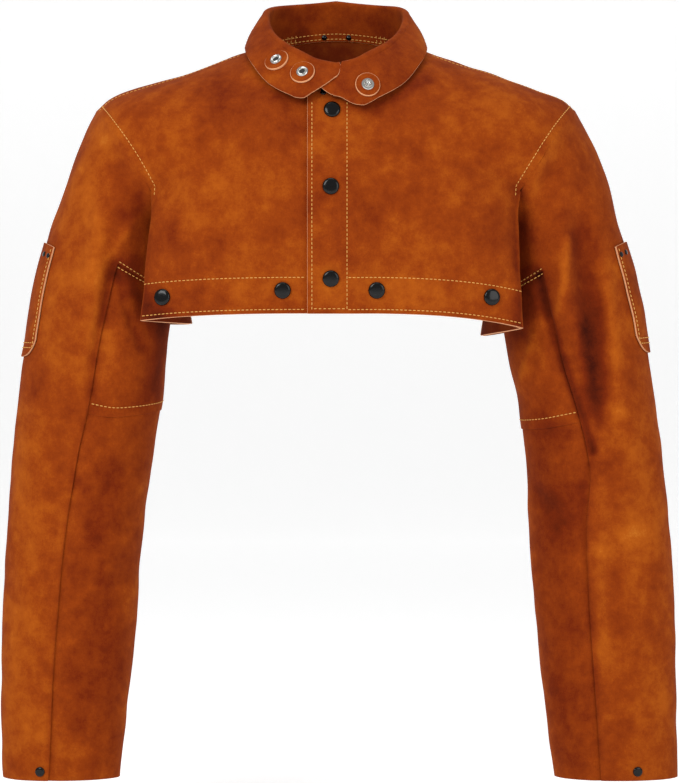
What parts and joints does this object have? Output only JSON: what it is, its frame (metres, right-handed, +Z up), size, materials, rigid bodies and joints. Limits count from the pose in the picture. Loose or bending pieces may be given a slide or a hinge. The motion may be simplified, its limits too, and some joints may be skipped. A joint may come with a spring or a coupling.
{
  "type": "welding cape with sleeves",
  "caption": "Short suede leather welding cape with long sleeves, snapped front placket, turned-down collar and a hem band with snaps for a bib.",
  "frame": {"origin": "on the shoulder ridge plane at the base of the neck, where the cape rests on its wearer", "axes": "+X to the wearer's left, +Y to the back, +Z up"},
  "size_m": [0.6415, 0.2158, 0.743],
  "materials": {
    "leather": "rust-orange split cowhide, suede",
    "black_metal": "glossy black enamelled snap caps and rivets",
    "bright_metal": "bright nickel-plated eyelets and stud"
  },
  "bodies": {
    "root": {"front_panel_right": "leather", "front_panel_left": "leather", "placket_facing": "leather", "back_panel": "leather", "hem_facing_right": "leather", "hem_facing_left": "leather", "hem_facing_back": "leather", "collar": "leather", "collar_patch_1": "leather", "collar_patch_2": "leather", "collar_patch_3": "leather", "sleeve_outer_right": "leather", "sleeve_gusset_right": "leather", "sleeve_forearm_right": "leather", "sleeve_outer_left": "leather", "sleeve_gusset_left": "leather", "sleeve_forearm_left": "leather", "sleeve_pocket_right": "leather", "sleeve_pocket_left": "leather", "placket_snap_1": "black_metal", "placket_snap_2": "black_metal", "placket_snap_3": "black_metal", "placket_top_snap": "black_metal", "hem_snap_1": "black_metal", "hem_snap_2": "black_metal", "hem_snap_3": "black_metal", "hem_snap_4": "black_metal", "cuff_snap_right": "black_metal", "cuff_snap_left": "black_metal", "pocket_rivet_right_1": "black_metal", "pocket_rivet_right_2": "black_metal", "pocket_rivet_left_1": "black_metal", "pocket_rivet_left_2": "black_metal", "neck_rivet_1": "black_metal", "neck_rivet_2": "black_metal", "collar_eyelet_1": "bright_metal", "collar_eyelet_2": "bright_metal", "collar_stud": "bright_metal"}
  },
  "joints": []
}
